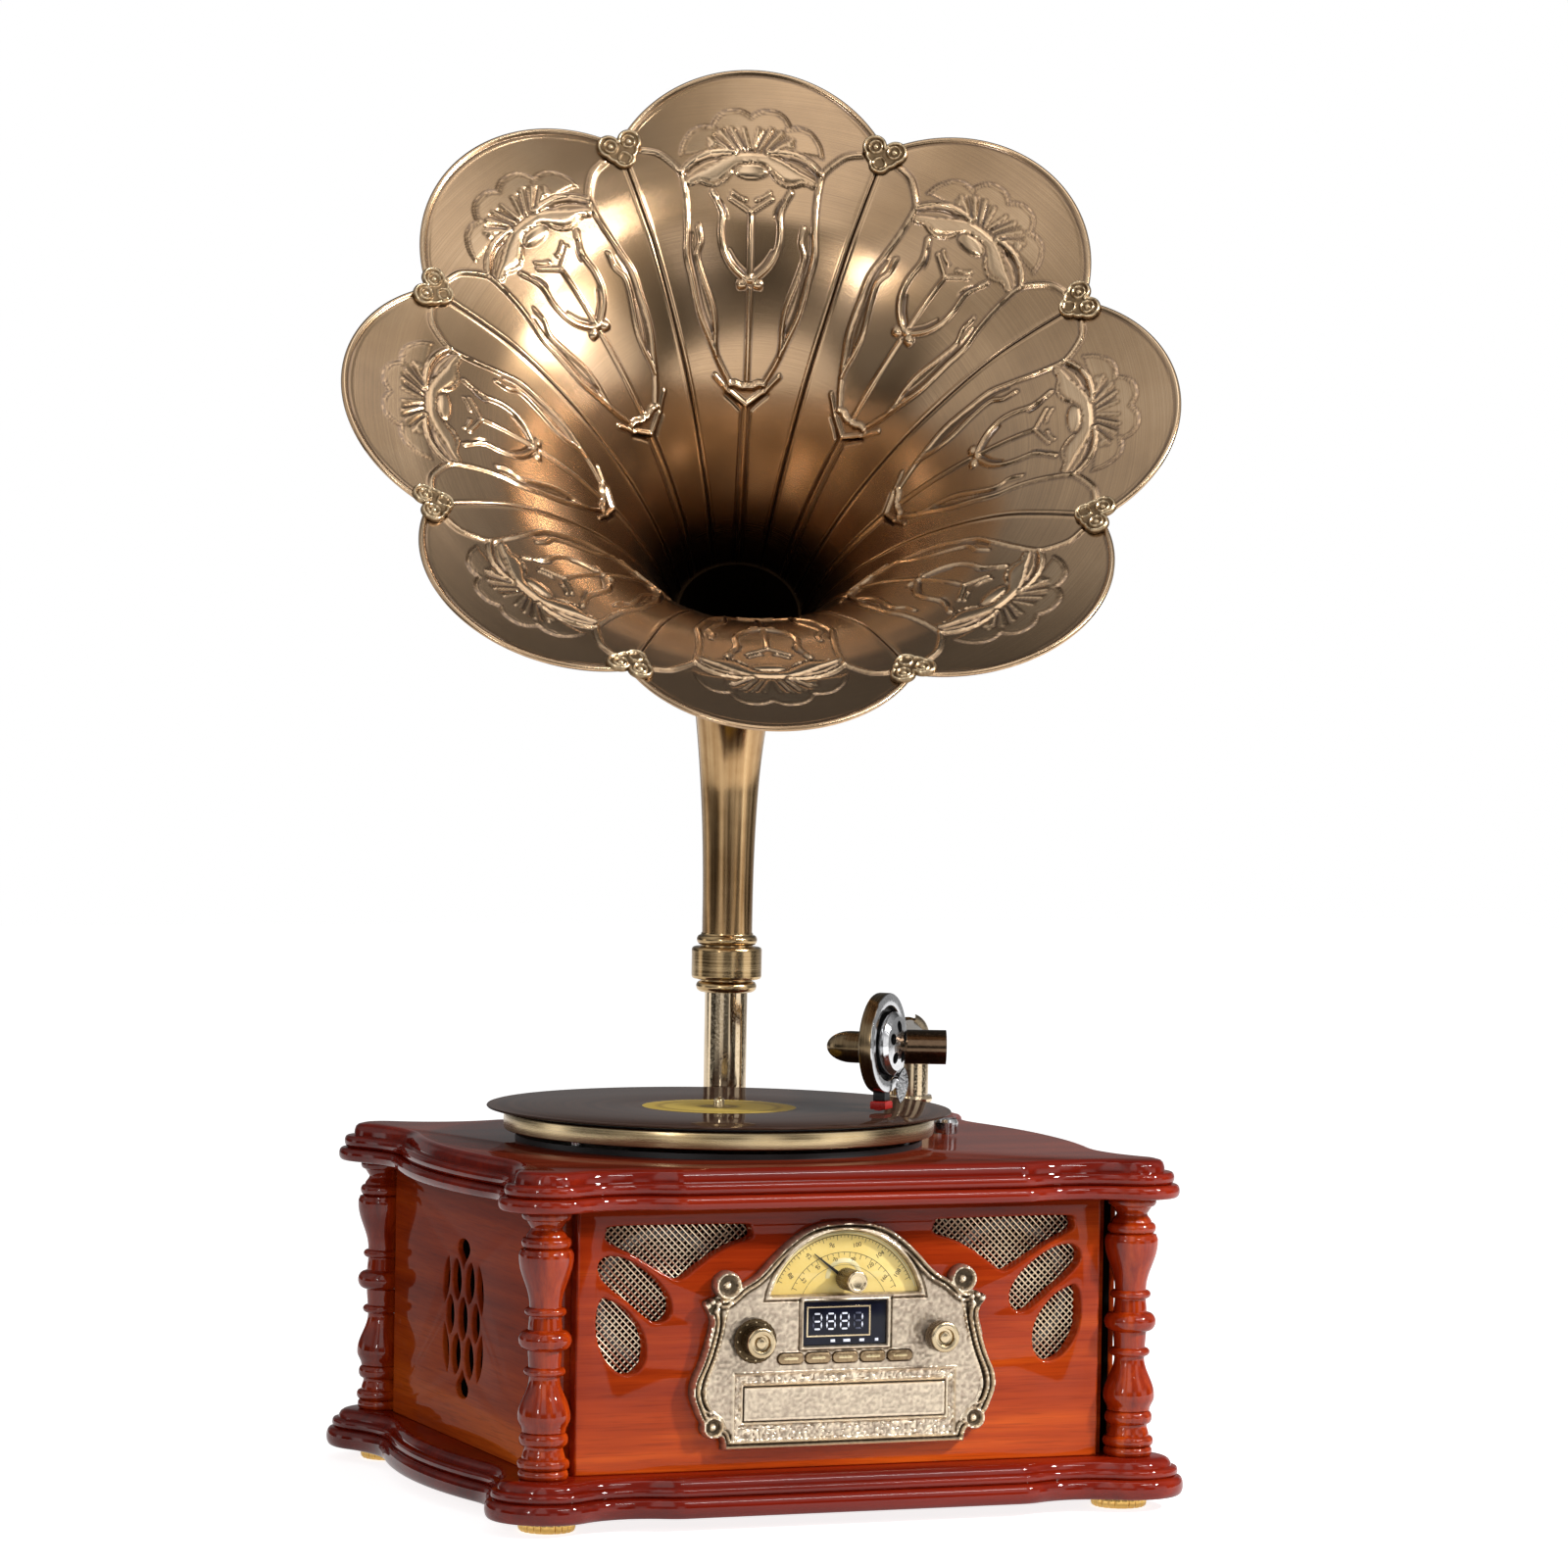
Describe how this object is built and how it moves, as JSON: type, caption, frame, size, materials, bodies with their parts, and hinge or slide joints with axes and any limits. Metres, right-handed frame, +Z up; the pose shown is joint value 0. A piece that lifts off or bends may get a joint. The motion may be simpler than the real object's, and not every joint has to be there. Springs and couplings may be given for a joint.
{
  "type": "horn gramophone",
  "caption": "Horn gramophone: wooden cabinet with radio and disc panel, belt-driven turntable, swinging tone arm and a flower-shaped brass horn on a post.",
  "frame": {"origin": "centre of the bottom of the whole object's bounding box, on the floor", "axes": "+X to the right seen from the front, +Y to the back, +Z up; the front panel faces -Y"},
  "size_m": [0.5223, 0.4479, 0.9216],
  "materials": {
    "dark_wood": "dark cherry stain under clear gloss lacquer",
    "red_wood": "orange-red cherry stain under clear gloss lacquer",
    "bright_brass": "polished",
    "horn_brass": "brushed antique brass, lacquered",
    "dark_brass": "antiqued",
    "arm_brass": "dark nickel over brass, polished",
    "pewter_brass": "antiqued, hammered",
    "knob_brass": "satin",
    "mesh_brass": "perforated sheet",
    "chrome": "polished",
    "plain_steel": "zinc plated",
    "black_metal": "black satin",
    "black_plastic": "moulded",
    "cone_paper": "pressed paper cone",
    "dial_yellow": "printed dial, yellow",
    "display_glass": "dark display window",
    "board_green": "circuit board",
    "mat_rubber": "moulded rubber",
    "vinyl": "grooved",
    "stylus_red": "red and black moulding"
  },
  "bodies": {
    "cabinet": {"base_plate": "dark_wood", "top_plate": "dark_wood", "front_panel": "red_wood", "left_panel": "red_wood", "right_panel": "red_wood", "back_panel": "red_wood", "corner_blocks": "red_wood", "columns": "dark_wood", "feet": "bright_brass", "screws": "chrome", "grilles": "mesh_brass", "speaker_frames": "black_metal", "speaker_cones": "cone_paper", "fascia": "pewter_brass", "dial_scale": "dial_yellow", "display_screen": "display_glass", "control_board": "board_green", "cd_chassis": "plain_steel", "main_board": "board_green", "rear_jacks": "black_plastic", "deck_ring": "black_metal", "platter_bearing": "bright_brass", "turntable_motor": "plain_steel", "drive_belt": "mat_rubber", "arm_base": "arm_brass", "horn_post": "horn_brass", "horn_driver": "black_plastic"},
    "turntable": {"platter": "horn_brass", "platter_mat": "mat_rubber", "record": "vinyl"},
    "pulley": {"motor_pulley": "bright_brass"},
    "arm_pivot": {"arm_post": "arm_brass"},
    "tone_arm": {"arm_tube": "arm_brass", "head_tube": "arm_brass", "soundbox": "arm_brass", "soundbox_face": "chrome", "cartridge": "stylus_red", "finger_lift": "chrome"},
    "horn": {"horn_coupling": "horn_brass", "horn_neck": "horn_brass", "petal_1": "horn_brass", "petal_2": "horn_brass", "petal_3": "horn_brass", "petal_4": "horn_brass", "petal_5": "horn_brass", "petal_6": "horn_brass", "petal_7": "horn_brass", "petal_8": "horn_brass", "petal_clips": "dark_brass"},
    "volume_knob": {"left_knob": "knob_brass"},
    "function_knob": {"right_knob": "knob_brass"},
    "tuning": {"tuning_knob": "knob_brass", "dial_needle": "black_plastic"},
    "disc_drawer": {"cd_drawer": "pewter_brass"},
    "speed_knob": {"speed_selector": "chrome"},
    "key_1": {"button_1": "pewter_brass"},
    "key_2": {"button_2": "pewter_brass"},
    "key_3": {"button_3": "pewter_brass"},
    "key_4": {"button_4": "pewter_brass"},
    "key_5": {"button_5": "pewter_brass"}
  },
  "joints": [
    {"name": "turntable_spin", "type": "hinge", "parent": "cabinet", "child": "turntable", "pos_m": [0.0056, 0.0276, 0.235], "axis": [0, 0, 1], "continuous": true},
    {"name": "pulley_spin", "type": "hinge", "parent": "cabinet", "child": "pulley", "pos_m": [-0.0545, -0.0325, 0.235], "axis": [0, 0, 1], "continuous": true},
    {"name": "arm_swing", "type": "hinge", "parent": "cabinet", "child": "arm_pivot", "pos_m": [0.1829, 0.1338, 0.25], "axis": [0, 0, 1], "range_deg": [-14, 25]},
    {"name": "arm_lift", "type": "hinge", "parent": "arm_pivot", "child": "tone_arm", "pos_m": [0.1829, 0.1338, 0.2825], "axis": [-0.9412, 0.3378, 0], "range_deg": [0, 25]},
    {"name": "horn_swivel", "type": "hinge", "parent": "cabinet", "child": "horn", "pos_m": [0.0693, 0.1828, 0.328], "axis": [0, 0, 1], "continuous": true},
    {"name": "volume_turn", "type": "hinge", "parent": "cabinet", "child": "volume_knob", "pos_m": [-0.0339, -0.1442, 0.1145], "axis": [0, -1, 0], "range_deg": [-150, 150]},
    {"name": "function_turn", "type": "hinge", "parent": "cabinet", "child": "function_knob", "pos_m": [0.0897, -0.1442, 0.1145], "axis": [0, -1, 0], "range_deg": [-150, 150]},
    {"name": "tuning_turn", "type": "hinge", "parent": "cabinet", "child": "tuning", "pos_m": [0.0279, -0.1442, 0.1513], "axis": [0, -1, 0], "range_deg": [-132, 28]},
    {"name": "drawer_slide", "type": "slide", "parent": "cabinet", "child": "disc_drawer", "axis": [0, -1, 0], "range_m": [0, 0.13]},
    {"name": "speed_turn", "type": "hinge", "parent": "cabinet", "child": "speed_knob", "pos_m": [0.1739, 0.0458, 0.228], "axis": [0, 0, 1], "range_deg": [-30, 30]},
    {"name": "key_1_press", "type": "slide", "parent": "cabinet", "child": "key_1", "axis": [0, 1, 0], "range_m": [0, 0.001], "stiffness_N_per_m": 400, "springref_m": -0.0005},
    {"name": "key_2_press", "type": "slide", "parent": "cabinet", "child": "key_2", "axis": [0, 1, 0], "range_m": [0, 0.001], "stiffness_N_per_m": 400, "springref_m": -0.0005},
    {"name": "key_3_press", "type": "slide", "parent": "cabinet", "child": "key_3", "axis": [0, 1, 0], "range_m": [0, 0.001], "stiffness_N_per_m": 400, "springref_m": -0.0005},
    {"name": "key_4_press", "type": "slide", "parent": "cabinet", "child": "key_4", "axis": [0, 1, 0], "range_m": [0, 0.001], "stiffness_N_per_m": 400, "springref_m": -0.0005},
    {"name": "key_5_press", "type": "slide", "parent": "cabinet", "child": "key_5", "axis": [0, 1, 0], "range_m": [0, 0.001], "stiffness_N_per_m": 400, "springref_m": -0.0005}
  ],
  "couplings": [
    {"joint": "pulley_spin", "follows": "turntable_spin", "ratio": 9.9344}
  ]
}
